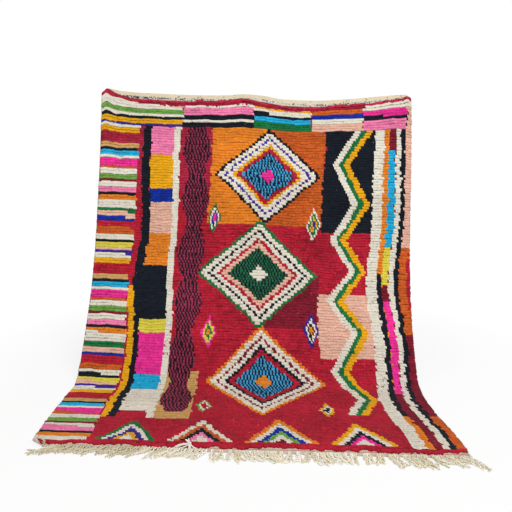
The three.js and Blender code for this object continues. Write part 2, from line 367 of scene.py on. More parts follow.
# A mottled band with notched edges.
BAND_MIDDLE = 1.385
BAND_HALF = 0.046  # at its narrowest
NOTCH = 0.022
NOTCH_PERIOD = 0.33
half_band = BAND_HALF + NOTCH * (1 + zigzag(up_rug + 0.05, NOTCH_PERIOD))
band = BAND_MIDDLE + wander(0.012)
upright(band - half_band, band + half_band + wander(0.004), FIGURES_FROM, FIGURES_TO, "plum", "wine")

# A file of broad patches between two cords.
patch_foot = FIGURES_FROM
for height, name in (
    (0.24, "ivory"), (0.12, "sky"), (0.26, "magenta"), (0.08, "lemon"), (0.34, "ink"),
    (0.20, "orange"), (0.20, "peach"), (0.10, "cobalt"), (0.22, "mustard"), (0.18, "rose"),
):
    upright(1.500 + wander(0.006), 1.680 + wander(0.006), patch_foot, patch_foot + height, name)
    patch_foot += height
for left, right, top, name in (
    (1.478, 1.516, FIGURES_TO, "ivory"), (1.664, 1.716, FIGURES_TO, "ink"),
    (1.712, 1.748, 1.20, "mustard"),
):
    slip = wander(0.012)
    upright(left + slip, right + slip, 0.24, top, name)

# Left border: a ladder of plain bars.
bars(
    1.755, 2.100, 0.02, FIGURES_TO,
    "2 ivory, 2 orange, 1 ink, 2 rose, 2 ivory, 1 garnet, 2 leaf, 2 ivory, 1 rust, 3 magenta,"
    "1 ivory, 2 sky, 1 ink, 2 sand, 4 crimson, 2 mustard, 1 ivory, 2 violet, 1 peach, 2 lemon,"
    "1 ink, 2 ivory, 2 rust, 3 crimson, 1 cobalt, 2 peach, 2 green, 1 ivory",
)

# Small nested lozenges scattered on the ground.
for middle, height, half_side, half_up, text in (
    (0.610, 0.960, 0.050, 0.115, "1 violet, 0.72 ivory, 0.50 ink, 0.30 orange"),
    (0.615, 1.625, 0.048, 0.105, "1 ivory, 0.74 green, 0.50 mustard, 0.30 violet"),
    (1.240, 0.930, 0.050, 0.100, "1 magenta, 0.75 lemon, 0.50 green, 0.28 orange"),
    (1.245, 1.650, 0.046, 0.100, "1 green, 0.75 ivory, 0.50 cobalt, 0.28 magenta"),
    (1.230, 0.370, 0.044, 0.070, "1 leaf, 0.70 ivory, 0.45 crimson"),
    (0.570, 0.350, 0.042, 0.070, "1 mustard, 0.70 ivory, 0.45 ink"),
):
    lozenge(middle, height, half_side, half_up, text)

# Along the front, a row of nested gables.
GABLE_STEP = 0.034
GABLE_SLOPE = 1.20
for middle, top, text in (
    (0.46, 0.225, "mustard ivory ink magenta ivory"),
    (0.84, 0.245, "orange ivory cobalt leaf ivory garnet"),
    (1.22, 0.225, "ivory rust ink rose ivory"),
    (1.57, 0.215, "green ivory violet mustard ivory"),
):
    eaves = top - GABLE_SLOPE * np.abs(side - middle + wander(0.004))
    for index, name in enumerate(text.split()):
        knot((up_rug < eaves - GABLE_STEP * index) & (row_number > 1), name)

# Under the upper edge, five stacks of bars.
for left, right, text in (
    (0.05, 0.33, "4 rose, 1 ink, 3 magenta, 2 ivory"),
    (0.33, 0.66, "3 peach, 2 ivory, 2 cobalt, 2 rust, 1 orange"),
    (0.66, 1.02, "2 green, 3 sky, 1 ink, 2 ivory, 2 mustard"),
    (1.02, 1.48, "2 ink, 1 ivory, 2 ink, 3 rose, 2 ivory"),
    (1.48, 2.10, "1 violet, 2 mustard, 1 ink, 1 ivory, 2 leaf, 1 ivory, 2 peach"),
):
    bars(left, right, FIGURES_TO, 2.41, text)

# Above PINKER_FROM, give or take a wander, the crimson is knotted in a pinker red.
PINKER_FROM = 1.80
upper_crimson = (design == YARN_NAMES.index("crimson")) & (up_rug + wander(0.1) > PINKER_FROM)
design[upper_crimson] = YARN_NAMES.index("cherry")

# Distance across, and the share of the flat weave that the last rows climb over, where the
# upper edge is held and pulls them up. At the corners a pale course shows under the red.
HELD_CLIMB = (
    (0, 1.00), (0.030, 0.95), (0.065, 0.66), (0.110, 0.38), (0.170, 0.13), (0.250, 0),
    (0.780, 0), (0.905, 0.34), (1.030, 0), (1.750, 0), (1.890, 0.22), (1.945, 0.38),
    (1.980, 0.78), (2.000, 0.90),
)
CORNER_SPAN = 0.22
# The rug ends in a bright red row. Between these distances across, the row before it is knotted
# in darker claret, as painted shade below the topmost row.
SHADED_ROW_SPAN = (0.240, 1.700)
knot_across = SELVEDGE + (knot_number + 0.5) * KNOT_PITCH
at_corner = np.minimum(knot_across, WIDTH - knot_across) < CORNER_SPAN
knot((row_number >= ROWS - 3) & at_corner, "ivory")
away = (knot_across > SHADED_ROW_SPAN[0]) & (knot_across < SHADED_ROW_SPAN[1])
knot((row_number == ROWS - 2) & away, "claret")
knot(row_number == ROWS - 1, "scarlet")
knot(row_number < 1, "crimson")

# Each pot of dye differs a little, so rows shade into one another, and so do lengths of yarn and
# single knots. Dark dyes take most unevenly, and undyed yarn hardly varies.
ABRASH = 0.06
ABRASH_ROWS = 5  # from one shade to the next
ABRASH_SHADES = 40
YARN_KNOTS = 4  # tied from one length of yarn
POT_ROWS = 6  # and knots, that one pot of dye lasts
POT_KNOTS = 12
UNEVEN = (0.5, 0.8, 0.8)  # lengths of yarn, pots and single knots
MOST_UNEVEN = 0.16  # of the darkest dye
SETTLED = ((0.30, 0.80), (0.7, 1.0))  # the laid part looks calmer, end on, than further up
LEAST_TONE = 0.4
abrash = between_marks(weaver.uniform(-ABRASH, ABRASH, ABRASH_SHADES), ABRASH_ROWS, ROWS)
lengths = weaver.normal(0, UNEVEN[0], (ROWS, KNOTS // YARN_KNOTS + 1))
lengths = np.repeat(lengths, YARN_KNOTS, axis=1)[:, :KNOTS]
pots = weaver.normal(0, UNEVEN[1], (ROWS // POT_ROWS + 2, KNOTS // POT_KNOTS + 2))
pots = np.stack([between_marks(pot, POT_ROWS, ROWS) for pot in pots.T], axis=1)
pots = np.stack([between_marks(pot, POT_KNOTS, KNOTS) for pot in pots])
paleness = (yarn_colours @ (0.2126, 0.7152, 0.0722))[design]
uneven = MOST_UNEVEN * np.interp(up_rug, *SETTLED) * (1 - paleness) ** 1.6
single = weaver.normal(0, UNEVEN[2], design.shape)
tone = 1 + abrash[:, None] + uneven * (lengths + pots + single)
knot_colours = yarn_colours[design] * np.maximum(tone, LEAST_TONE)[..., None]


def new_piece(name, places, faces, yarn, deep, charts):
    """A smooth mesh from its points and faces. yarn is each face's colour, deep is how near the
    ground each point lies, and charts are UV maps, by name, with a place for each face corner."""
    mesh = bpy.data.meshes.new(name)
    mesh.from_pydata(places.reshape(-1, 3).tolist(), [], faces)
    mesh.shade_smooth()
    corners = [len(face) for face in faces]
    colour = mesh.attributes.new("yarn", "FLOAT_COLOR", "CORNER")
    colours = np.ones((sum(corners), 4))
    colours[:, :3] = np.repeat(np.clip(yarn, 0, 1), corners, axis=0)
    colour.data.foreach_set("color", colours.ravel())
    depth = mesh.attributes.new("deep", "FLOAT", "POINT")
    depth.data.foreach_set("value", np.broadcast_to(deep, places.shape[:-1]).ravel())
    for chart, spots in charts.items():
        layer = mesh.uv_layers.new(name=chart, do_init=False)
        layer.data.foreach_set("uv", spots.ravel())
    piece = bpy.data.objects.new(name, mesh)
    bpy.context.scene.collection.objects.link(piece)
    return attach(piece, "root")


def grid_faces(grid):
    """The corners of each face of a grid, which holds numbers of points, or places on a chart."""
    corners = (grid[:-1, :-1], grid[:-1, 1:], grid[1:, 1:], grid[1:, :-1])
    return np.stack(corners, 2).reshape(-1, 4, *grid.shape[2:])


# On the chart to bake on, where the front, the back and the rim begin, and the share they fill.
FRONT_BACK_RIM = np.array(((0.80, 0.16), (0, 0.78), (0.97, 0.03)))


def sheet_piece(name, rows, columns, front, back, front_yarn, back_yarn, deep, coarse=1):
    """A closed sheet of cloth. front and back are heights over rows and columns of the back, and
    the front keeps only every coarse-th column."""
    along, across = np.meshgrid(rows, columns, indexing="ij")
    back_places = place(along, across, back)
    front_places = place(along, across, front)[:, ::coarse]
    places = np.concatenate((back_places.reshape(-1, 3), front_places.reshape(-1, 3)))
    under = np.arange(along.size).reshape(along.shape)
    over = under.size + np.arange(front_places[..., 0].size).reshape(front_places.shape[:2])
    over_faces = grid_faces(over).tolist()
    under_faces = grid_faces(under)[:, ::-1].tolist()
    left = np.stack((over[:-1, 0], over[1:, 0], under[1:, 0], under[:-1, 0]), -1)
    right = np.stack((over[1:, -1], over[:-1, -1], under[:-1, -1], under[1:, -1]), -1)
    rim = left.tolist() + right.tolist()
    for j in range(over.shape[1] - 1):
        below, above = under[(0, -1), j * coarse : (j + 1) * coarse + 1].tolist()
        rim.append(over[0, (j + 1, j)].tolist() + below)
        rim.append(over[-1, (j, j + 1)].tolist() + above[::-1])
    rim_yarn = np.tile(back_yarn[0, 0], (len(rim), 1))
    yarn = np.concatenate((front_yarn.reshape(-1, 3), back_yarn.reshape(-1, 3), rim_yarn))
    faces = over_faces + under_faces + rim
    flat = np.stack((across, along), -1)
    flat = np.concatenate((flat.reshape(-1, 2), flat[:, ::coarse].reshape(-1, 2)))
    corner = np.concatenate(faces)
    bake = ((flat - flat.min(0)) / np.ptp(flat, axis=0))[corner]
    which = np.repeat((0, 1, 2), (len(over_faces), len(under_faces), len(rim)))
    start, share = FRONT_BACK_RIM[np.repeat(which, [len(face) for face in faces])].T
    bake[:, 1] = start + share * bake[:, 1]
    return new_piece(name, places, faces, yarn, deep, {"yarn_lay": flat[corner], "OFBake": bake})


COARSE = 7  # the face of the ground is hidden under the pile, and this divides KNOTS
BARE_ROWS = 2  # but for a little undyed weft before the first knots
BARE_WEFT = linear("#D9C4B0")
UNDER_PILE_SHADE = 0.5  # painted shade: how much darker the face is drawn under the pile
ground_rows = np.linspace(0, FIELD_LENGTH, 2 * ROWS + 1)
ground_columns = SELVEDGE + SEAM + np.arange(KNOTS + 1) * (WIDTH - 2 * SELVEDGE - 2 * SEAM) / KNOTS
weft_line = np.broadcast_to((np.arange(2 * ROWS + 1) % 2 == 0)[:, None], (2 * ROWS + 1, KNOTS + 1))
back_yarn = np.repeat(knot_colours, 2, axis=0)
# the face shows its knots' yarn, darkened as painted shade from the pile over it
front_yarn = back_yarn[:, ::COARSE] * UNDER_PILE_SHADE
front_yarn[:BARE_ROWS] = BARE_WEFT
deep = np.concatenate((weft_line.ravel(), 0 * weft_line[:, ::COARSE].ravel())).astype(float)
woven_ground = sheet_piece(
    "woven_ground", ground_rows, ground_columns, GROUND_THICKNESS, weft_line * WEFT_DEPTH,
    front_yarn, back_yarn, deep, COARSE,
)


def add_node(tree, kind, inputs=None, **settings):
    """Adds a shader node. An input is a value, another node, which gives its first output, or one
    of another node's outputs."""
    node = tree.nodes.new("ShaderNode" + kind)
    for name, value in settings.items():
        setattr(node, name, value)
    for name, value in (inputs or {}).items():
        if isinstance(value, bpy.types.Node):
            value = value.outputs[0]
        if isinstance(value, bpy.types.NodeSocket):
            tree.links.new(value, node.inputs[name])
        else:
            node.inputs[name].default_value = value
    return node


def new_material(name):
    """A bare material and its node tree."""
    material = bpy.data.materials.new(name)
    material.use_nodes = True
    material.node_tree.nodes.clear()
    return material, material.node_tree


def new_wool(name):
    """A material for yarn, its node tree, the yarn's own colour, and how it lies in metres."""
    material, tree = new_material(name)
    colour = add_node(tree, "Attribute", attribute_name="yarn")
    lay = add_node(tree, "UVMap", uv_map="yarn_lay")
    return material, tree, colour, lay


def shaded(tree, colour, shade, *others):
    """A colour, darkened or lightened by one shade or by several at once."""
    for other in others:
        shade = add_node(tree, "Math", {0: shade, 1: other}, operation="MULTIPLY")
    return add_node(tree, "VectorMath", {0: colour, "Scale": shade}, operation="SCALE")


def matt_surface(tree, colour, relief, depth, strength, roughness, specular=0.2, sheen=0.0):
    """The surface of a wool. Its relief is as deep as depth, in metres, where strength is 1."""
    bump = add_node(tree, "Bump", {"Height": relief, "Distance": depth, "Strength": strength})
    surface = add_node(tree, "BsdfPrincipled", {
        "Base Color": colour, "Normal": bump, "Roughness": roughness,
        "Specular IOR Level": specular, "Sheen Weight": sheen})
    add_node(tree, "OutputMaterial", {"Surface": surface})


# Wool yarn, spun by hand and left unbrushed on the back: matt, with lines of undyed weft
# beaten between the knots' nubs. Weft is about 2 mm thick, and its slubs 6 mm apart.
WEFT_COLOUR = "#A98E72"
WEFT_PITCH = 0.0042
SLUB = 0.00625
ground_wool, tree, colour, lay = new_wool("handspun_wool_ground")
depth = add_node(tree, "Attribute", attribute_name="deep").outputs["Fac"]
slub = add_node(tree, "TexNoise", {"Vector": lay, "Scale": 1 / SLUB, "Detail": 3.0})
edge = add_node(tree, "Math", {0: slub, 1: 0.5, 2: depth}, operation="MULTIPLY_ADD")
is_weft = add_node(tree, "MapRange", {
    "Value": edge, "From Min": 0.72, "From Max": 0.92}, interpolation_type="SMOOTHSTEP")
weft = add_node(tree, "Mix", {
    0: is_weft, 6: colour, 7: (*linear(WEFT_COLOUR), 1)}, data_type="RGBA")
slubby = add_node(tree, "MapRange", {"Value": slub, "To Min": 0.72, "To Max": 1.16})
shots = add_node(tree, "TexWave", {
    "Vector": lay, "Scale": math.pi / 10 / WEFT_PITCH, "Distortion": 1.5, "Detail": 2.0,
    "Detail Scale": 20.0}, bands_direction="Y")
matt_surface(tree, shaded(tree, weft.outputs[2], slubby), shots.outputs["Fac"],
             depth=0.0012, strength=0.8, roughness=0.95)
woven_ground.data.materials.append(ground_wool)
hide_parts("pile_field")


# ====================================================================== knotted pile
# Rows of wool knots, tied round pairs of warps and cut long. The pile lies down the rug, so
# each row is a soft rib that laps over the row before it, and the colours change in teeth.

# Round a rib, from the back of its row to the front: place along in rows, height where the pile
# hangs, height where it stands up on the laid part and on soft pale yarn, and how deep it lies,
# which sets how much painted gap shade it gets.
RIB = (
    (0.52, 0.0108, 0.0146, 1.0), (0.31, 0.0138, 0.0151, 0.35), (-0.05, 0.0151, 0.0152, 0.0),
    (-0.43, 0.0144, 0.0151, 0.15), (-0.60, 0.0116, 0.0146, 0.9),
)
FRONT_FOOT = (0.0130, 0.0034)  # heights where the first row of all slopes to the flat weave
# how much painted gap shade the first row's sloping front gets
FRONT_FOOT_DEPTH = 0.1
FRONT_REACH = (0, 0, 0, -0.08, -0.26)  # how much further along it reaches, in rows
FRONT_PULL = 0.009  # how far the first rows stand back from the flat weave
FRONT_ROWS = 4
FRONT_RAGGED = ((0.4, 29, 0, 1), (0.3, 74, 0, 0))
ROW_WAVE = (0.0022, 0.045)  # how far each row strays from its neighbours, and in what length
SWAY = ((0.0060, 6.1, 1.3, 0.5), (0.0036, 15.7, -2.2, 2.0), (0.0026, 37, 9, 0), (0.0014, 83, 31, 0))
KNOT_STEPS = 2
VALLEY = 0.0006  # between neighbouring knots
PARTING = 0.0014  # between neighbouring tufts
# painted gap shade where neighbouring tufts part
PARTING_DEPTH = 0.5
LOOSE = 0.9  # the least that points of the outer rows stray with their tufts, however deep
EVENED = 0.7  # of their unevenness, where tufts stand up
TUFT_ENDS = 0.5  # the share of knots at which a tuft of cut ends stops
UNEVEN_RISE = (0.0007, 0.0004)  # of tufts and of knots
UNEVEN_LENGTH = (0.12, 0.10)  # of tufts and of knots, in rows
LEAN = 0.0030  # of the tufts, sideways, give or take as much again
ROW_LEAN = 0.002
EDGE_TUFT = (0.0005, 0.0065)  # how far short of the rug's edge the last tufts stop
HELD_COVER = 0.98  # of the flat weave, where the rows are pulled up furthest
CLIMB_FADE = 0.20
# How upright tufts stand: by distance along, where the rug lies and where its bend presses them
# together, and by how pale and so how soft their yarn is.
UPRIGHT_LAID = ((0.40, 0.75), (0.8, 0))
UPRIGHT_BENT = ((0.35, 0.60, 1.10, 1.70), (0, 0.8, 0.4, 0))
UPRIGHT_PALE = ((0.45, 0.65), (0, 0.95))
# Distance across, and by what share of a row the tufts of the last row, and of the one before
# it, are longer than others.
LONG_TUFTS = (
    (0, 0.20, 0), (0.300, 0, 0), (0.480, 0, 0.80), (1.000, 0, 0.80), (1.200, 0, 0.20),
    (1.700, 0.10, 0.10), (1.760, 0.35, 0), (2.000, 0.35, 0),
)
PILE_PIECES = 6
knotter = np.random.default_rng(5)


def held_climb(along, across):
    """How far the rows near the held places of the upper edge are pulled up the rug."""
    reach = HELD_COVER * TOP_BAND * look_up(HELD_CLIMB, 1, across)
    return reach * np.exp(-(FIELD_LENGTH - along) / CLIMB_FADE)


def length_of(path):
    """The distance run at each point of a path, from its start."""
    return summed(np.linalg.norm(np.diff(path, axis=0), axis=1))


def closed_round(grid):
    """A grid of points round a roll, with the first of them again after the last."""
    return np.concatenate((grid, grid[:, :1]), axis=1)


CHART_MARGIN = 0.03
END_MARGIN = 0.01
CHART_SHIFT = 0.07  # between the stretches of pattern that two rolls show


def roll_charts(rolls, columns):
    """UV maps of closed rolls: their yarn's lay in metres, and one chart for each to bake on."""
    lays = []
    bakes = []
    chart_rows = math.ceil(len(rolls) / columns)
    for index, places in enumerate(rolls):
        round_it = places.shape[1]
        run = length_of(places.mean(axis=1))
        girth = summed(np.linalg.norm(np.diff(closed_round(places), axis=1), axis=2).mean(axis=0))
        grid = np.stack(np.meshgrid(run, girth, indexing="ij"), -1)
        lay = np.concatenate((grid_faces(grid).reshape(-1, 2), grid[0, :-1][::-1], grid[-1, :-1]))
        unit = lay / (run[-1], girth[-1])
        unit[:, 0] = END_MARGIN + (1 - 2 * END_MARGIN) * unit[:, 0]
        ends = np.repeat((-END_MARGIN, END_MARGIN), round_it)
        unit[-2 * round_it :, 0] += ends * (np.arange(2 * round_it) % 2)
        corner = np.array((index % columns, index // columns)) + CHART_MARGIN
        bakes.append((corner + (1 - 2 * CHART_MARGIN) * unit) / (columns, chart_rows))
        lays.append(lay + (0, CHART_SHIFT * index))
    return {"yarn_lay": np.concatenate(lays), "OFBake": np.concatenate(bakes)}


def rolls_piece(name, rolls, yarns, depths, columns=1):
    """Closed rolls joined in one mesh. A roll is places[station][point round it], its yarns are
    the colours of its stretches, and its depths are how deep those points lie."""
    faces = []
    colours = []
    start = 0
    for places, yarn in zip(rolls, yarns):
        stations, round_it = places.shape[:2]
        number = start + np.arange(stations * round_it).reshape(stations, round_it)
        faces += grid_faces(closed_round(number)).tolist()
        faces += [number[0][::-1].tolist(), number[-1].tolist()]
        colours += [np.repeat(yarn, round_it, axis=0), yarn[:1], yarn[-1:]]
        start += number.size
    places = np.concatenate([roll.reshape(-1, 3) for roll in rolls])
    depth = [np.broadcast_to(deep, roll.shape[:2]).ravel() for roll, deep in zip(rolls, depths)]
    charts = roll_charts(rolls, columns)
    return new_piece(name, places, faces, np.concatenate(colours), np.concatenate(depth), charts)


def pile_row(row):
    """The rib of one row of knots, its colours, and how deep its points lie."""
    stations = KNOTS * KNOT_STEPS + 1
    across = np.linspace(SELVEDGE + SEAM, WIDTH - SELVEDGE - SEAM, stations)
    own = np.clip(np.arange(stations) // KNOT_STEPS, 0, KNOTS - 1)
    tuft = np.cumsum(knotter.random(KNOTS) < TUFT_ENDS)[own]
    parted = np.diff(tuft, prepend=tuft[0]) > 0
    between = np.arange(stations) % KNOT_STEPS == 0
    rise, length = [
        knotter.normal(0, of_tufts, KNOTS + 1)[tuft] + knotter.normal(0, of_knots, KNOTS)[own]
        for of_tufts, of_knots in (UNEVEN_RISE, UNEVEN_LENGTH)
    ]
    rise -= between * VALLEY + parted * PARTING
    lean = LEAN + knotter.uniform(-LEAN, LEAN, KNOTS + 1)[tuft] + knotter.uniform(-ROW_LEAN, ROW_LEAN)
    along_rib, hung, stood, deep = np.array(RIB).T
    bent = np.interp(row * ROW_PITCH, *UPRIGHT_BENT)
    laid = np.interp(row * ROW_PITCH, *UPRIGHT_LAID)
    stand = np.maximum(np.interp(paleness[row][own], *UPRIGHT_PALE), max(laid, bent))
    height = hung + (stood - hung) * stand[:, None]
    rise *= 1 - EVENED * stand
    # deep points get painted gap shade, less of it in the bend
    depth = np.maximum(deep, PARTING_DEPTH * parted[:, None]) * (1 - bent)
    surface = 1 - deep
    if row == 0:
        height[:, -2:] = FRONT_FOOT
        depth[:, -2:] = FRONT_FOOT_DEPTH
        along_rib = along_rib + FRONT_REACH
        length = 2 * length
    if row >= ROWS - 2:
        length = length + look_up(LONG_TUFTS, ROWS - row, across)
    if row == 0 or row >= ROWS - 2:
        surface = surface.clip(min=LOOSE)
    # the outermost tufts lean out over the side cords
    across[[0, -1]] = (0, WIDTH) + np.array((1, -1)) * knotter.uniform(*EDGE_TUFT, 2)
    height[[0, -1]] = np.maximum(height[[0, -1]], SELVEDGE)
    tip = np.clip(0.5 - along_rib, 0, 1)  # how far from the knot
    along = (row + 0.5 + along_rib - length[:, None] * tip * surface) * ROW_PITCH
    sideways = across[:, None] + lean[:, None] * tip
    sideways = np.clip(sideways, EDGE_TUFT[0], WIDTH - EDGE_TUFT[0])
    bends = knotter.normal(0, ROW_WAVE[0], round(WIDTH / ROW_WAVE[1]) + 1)
    stray = look_up(np.stack((np.linspace(0, WIDTH, len(bends)), bends), 1), 1, across)
    along = along + (waves(SWAY, sideways, along) + stray[:, None]) * surface
    ragged = waves(FRONT_RAGGED, sideways, along)
    pull = FRONT_PULL * (1 + ragged) * max(1 - row / FRONT_ROWS, 0)
    along = along + pull + held_climb(along, sideways)
    places = place(along, sideways, height + rise[:, None] * surface)
    return places, np.repeat(knot_colours[row], KNOT_STEPS, axis=0), depth


pile_pieces = []
for number, group in enumerate(np.array_split(np.arange(ROWS), PILE_PIECES), 1):
    ribs, yarns, depths = zip(*[pile_row(row) for row in group])
    pile_pieces.append(rolls_piece(f"pile_rows_{number}", ribs, yarns, depths))

# Lustrous long-staple wool, dyed in the yarn: rough, with a soft bloom where fibre ends catch
# the light, streaks along each strand, patches of dye about 40 mm long, and painted shade in the
# gaps between the ribs, where they stand open every 20 mm or so, strongest under dark yarn.
STRAND = 0.003
DYE_PATCHES = 26.0  # for each metre
OPEN_GAPS = 55.0  # for each metre
GAP_SHADE_STRENGTH = 0.55
LINT = 0.004
LINT_SPACING = 0.040
LINT_SHARE = 0.045  # of the places where it might lie
LINT_COLOUR = "#CFC8BA"
pile_wool, tree, colour, lay = new_wool("dyed_wool_pile")
depth = add_node(tree, "Attribute", attribute_name="deep").outputs["Fac"]
strands = add_node(tree, "Mapping", {"Vector": lay, "Scale": (1 / STRAND, 0.3 / STRAND, 1)})
streak = add_node(tree, "TexNoise", {
    "Vector": strands, "Scale": 1.0, "Detail": 4.0, "Roughness": 0.6})
streaky = add_node(tree, "MapRange", {
    "Value": streak, "From Min": 0.25, "From Max": 0.75, "To Min": 0.74, "To Max": 1.18})
patch = add_node(tree, "TexNoise", {"Vector": lay, "Scale": DYE_PATCHES, "Detail": 2.0})
patchy = add_node(tree, "MapRange", {
    "Value": patch, "From Min": 0.3, "From Max": 0.7, "To Min": 0.92, "To Max": 1.06})
# painted shade in the gaps between ribs, where deep points lie: strong under dark yarn, little under pale
lightness = add_node(tree, "RGBToBW", {"Color": colour})
darkness = add_node(tree, "MapRange", {
    "Value": lightness, "From Max": 0.7, "To Min": 1.0, "To Max": 0.0})
darkest = add_node(tree, "Math", {0: darkness, 1: 5.0}, operation="POWER")
gap_shadow = add_node(tree, "Math", {0: darkest, 1: GAP_SHADE_STRENGTH}, operation="MULTIPLY")
opening = add_node(tree, "TexNoise", {"Vector": lay, "Scale": OPEN_GAPS, "Detail": 1.0})
is_open = add_node(tree, "MapRange", {"Value": opening, "From Min": 0.35, "From Max": 0.65})
open_gap = add_node(tree, "Math", {0: depth, 1: is_open}, operation="MULTIPLY")
painted_gap_shade = add_node(tree, "Math", {0: open_gap, 1: gap_shadow}, operation="MULTIPLY")
gap_shaded = add_node(tree, "Math", {0: 1.0, 1: painted_gap_shade}, operation="SUBTRACT")
# now and then a crumb of pale lint has caught in the pile, and half covers it
crumbs = add_node(tree, "TexVoronoi", {
    "Vector": lay, "Scale": 1 / LINT_SPACING}, voronoi_dimensions="2D")
chance = add_node(tree, "SeparateColor", {0: crumbs.outputs["Color"]})
caught = add_node(tree, "Math", {0: chance, 1: 1 - LINT_SHARE}, operation="GREATER_THAN")
near = add_node(tree, "Math", {0: crumbs, 1: LINT / 2 / LINT_SPACING}, operation="LESS_THAN")
crumb = add_node(tree, "Math", {0: caught, 1: near}, operation="MULTIPLY")
cover = add_node(tree, "Math", {0: crumb, 1: 0.5}, operation="MULTIPLY")
worn = shaded(tree, colour, streaky, patchy, gap_shaded)
linty = add_node(tree, "Mix", {0: cover, 6: worn, 7: (*linear(LINT_COLOUR), 1)}, data_type="RGBA")
matt_surface(tree, linty.outputs[2], streak, depth=0.0016, strength=0.7, roughness=0.9,
             specular=0.12, sheen=0.03)
for piece in pile_pieces:
    piece.data.materials.append(pile_wool)
    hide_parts("pile_field")


# ====================================================================== side cords
# The outermost warps are bound together with whatever yarn is at hand, wrapped round and
# round, so each long edge is a thick cord in short lengths of many colours.

WRAP = 0.0075  # the width of one turn
WRAP_ROUND = 8
WRAP_DIP = 0.80  # how thick the cord is between two turns
WRAP_UNEVEN = 0.03
WRAP_SLANT = 0.0018
CORD_MIDDLE = 0.0050  # height of the middle of the cord, and half its height
CORD_TALL = 0.0049
YARN_TURNS = (2, 16)  # that one length of yarn makes
CORNER_TURNS = 20  # that the first makes, of the second yarn in its list
BINDING_TONES = (0.85, 1.1)
LEFT_BINDINGS = "rust ivory ink orange garnet leaf rust crimson peach cobalt".split()
RIGHT_BINDINGS = "ink ivory crimson orange rose garnet peach green ivory ink".split()


def side_cord(name, middle, bindings, seed):
    """One bound edge, as a roll with a ridge for every turn of the yarn."""
    binder = np.random.default_rng(seed)
    turns = round((FIELD_LENGTH + TOP_BAND + FRONT_BAND) / WRAP)
    along = np.linspace(-FRONT_BAND, FIELD_LENGTH + TOP_BAND, 2 * turns + 1)
    ridge = np.where(np.arange(len(along)) % 2, 1.0, WRAP_DIP)
    ridge += binder.normal(0, WRAP_UNEVEN, len(along))
    angle = np.linspace(0, 2 * math.pi, WRAP_ROUND, endpoint=False)
    across = middle - np.cos(angle) * (SELVEDGE - SEAM) / 2 * ridge[:, None]
    height = CORD_MIDDLE + np.sin(angle) * CORD_TALL * ridge[:, None]
    bound = along[:, None] + WRAP_SLANT * np.cos(angle)
    bound = np.clip(bound, -FRONT_BAND, FIELD_LENGTH + TOP_BAND)
    yarns = []
    left = 0
    for turn in range(turns):
        if left == 0:
            left = binder.integers(*YARN_TURNS) if turn else CORNER_TURNS
            choice = binder.integers(len(bindings)) if turn else 1
            now = yarn_colours[YARN_NAMES.index(bindings[choice])]
        yarns += [now * binder.uniform(*BINDING_TONES)] * 2
        left -= 1
    cord = place(bound, across, height)[::-1]
    return rolls_piece(name, [cord], [np.array(yarns)[::-1]], [np.zeros(WRAP_ROUND)])


# Hand-spun wool, wound tightly over itself: matt, with soft plies about 2 mm thick.
BINDING_PLY = 0.002
bound_wool, tree, colour, lay = new_wool("overcast_wool_yarn")
plies = add_node(tree, "TexNoise", {"Vector": lay, "Scale": 1 / BINDING_PLY, "Detail": 3.0})
soft = add_node(tree, "MapRange", {"Value": plies, "To Min": 0.66, "To Max": 1.2})
matt_surface(tree, shaded(tree, colour, soft), plies, depth=0.001, strength=0.6, roughness=0.92)
for name, middle, bindings, seed, node, slot in (
    ("side_cord_left", SELVEDGE / 2, LEFT_BINDINGS, 21, "selvedge_left", "overcast_wool_left"),
    ("side_cord_right", WIDTH - SELVEDGE / 2, RIGHT_BINDINGS, 22, "selvedge_right",
     "overcast_wool_right"),
):
    cord = side_cord(name, middle, bindings, seed)
    cord.data.materials.append(bound_wool)
    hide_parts(node)


# ====================================================================== flat-woven ends
# Before the first row of knots and after the last, a strip of plain weft-faced weave locks the
# pile in. The wefts hide the warps, and a dark pair of them makes the speckled line on top.

WARP_PITCH = 0.0068
SHOT_PITCH = 0.0026
BAND_THICKNESS = 0.0042
SHOT_RELIEF = 0.0007
BAND_LIFT = 0.0002
CREAM_WEFT = linear("#E3D3B4")
GREY_WEFT = linear("#D8D0C0")
PINK_WEFT = linear("#E2C0B0")
DARK_WEFT = linear("#3A3436")
WEFT_TONES = (0.90, 1.06)
band_weaver = np.random.default_rng(31)


def flat_weave(name, low, high, weft_of):
    """A strip of weave between two places along the rug. weft_of gives a shot its yarns."""
    shots = round((high - low) / SHOT_PITCH)
    warps = round((WIDTH - 2 * SELVEDGE) / WARP_PITCH)
    rows = np.linspace(low, high, shots + 1)
    columns = np.linspace(SELVEDGE + SEAM, WIDTH - SELVEDGE - SEAM, warps + 1)
    over_under = (np.arange(shots + 1)[:, None] + np.arange(warps + 1)) % 2
    relief = over_under * SHOT_RELIEF
    yarn = np.stack([weft_of(shot, shots, warps) for shot in range(shots)])
    yarn = yarn * band_weaver.uniform(*WEFT_TONES, (shots, warps, 1))
    # deep marks the hollows between shots, which the material darkens as painted shade
    deep = np.tile(over_under.ravel(), 2).astype(float)
    return sheet_piece(name, rows, columns, BAND_THICKNESS - relief, BAND_LIFT + relief, yarn, yarn, deep)


# The dark ends of the speckled line show in clusters. Distance across, and how thickly.
FLECKED = ((0, 1.0), (0.400, 1.0), (0.650, 0.8), (1.000, 0.6), (1.300, 0.6), (1.400, 1.0), (2.000, 0.9))
# Shares of the way from the pile to the edge, and how thickly they show there.
FLECK_LINE = ((0, 0.12, 0.18, 0.40, 0.48, 1), (0.04, 0.15, 0.55, 0.50, 0.04, 0))
GREY_SHARE = 0.48
SHOT_PAIRS = 10
MOST_WARPS = 300
CLUSTERS = 70
CLUSTER_THICKNESS = (0.4, 1.3)
RED_EDGE = (-0.04, 0.04)  # how unevenly the red ends, in shares of the flat weave
speckle = band_weaver.random((SHOT_PAIRS, MOST_WARPS))
clusters = band_weaver.uniform(*CLUSTER_THICKNESS, CLUSTERS)


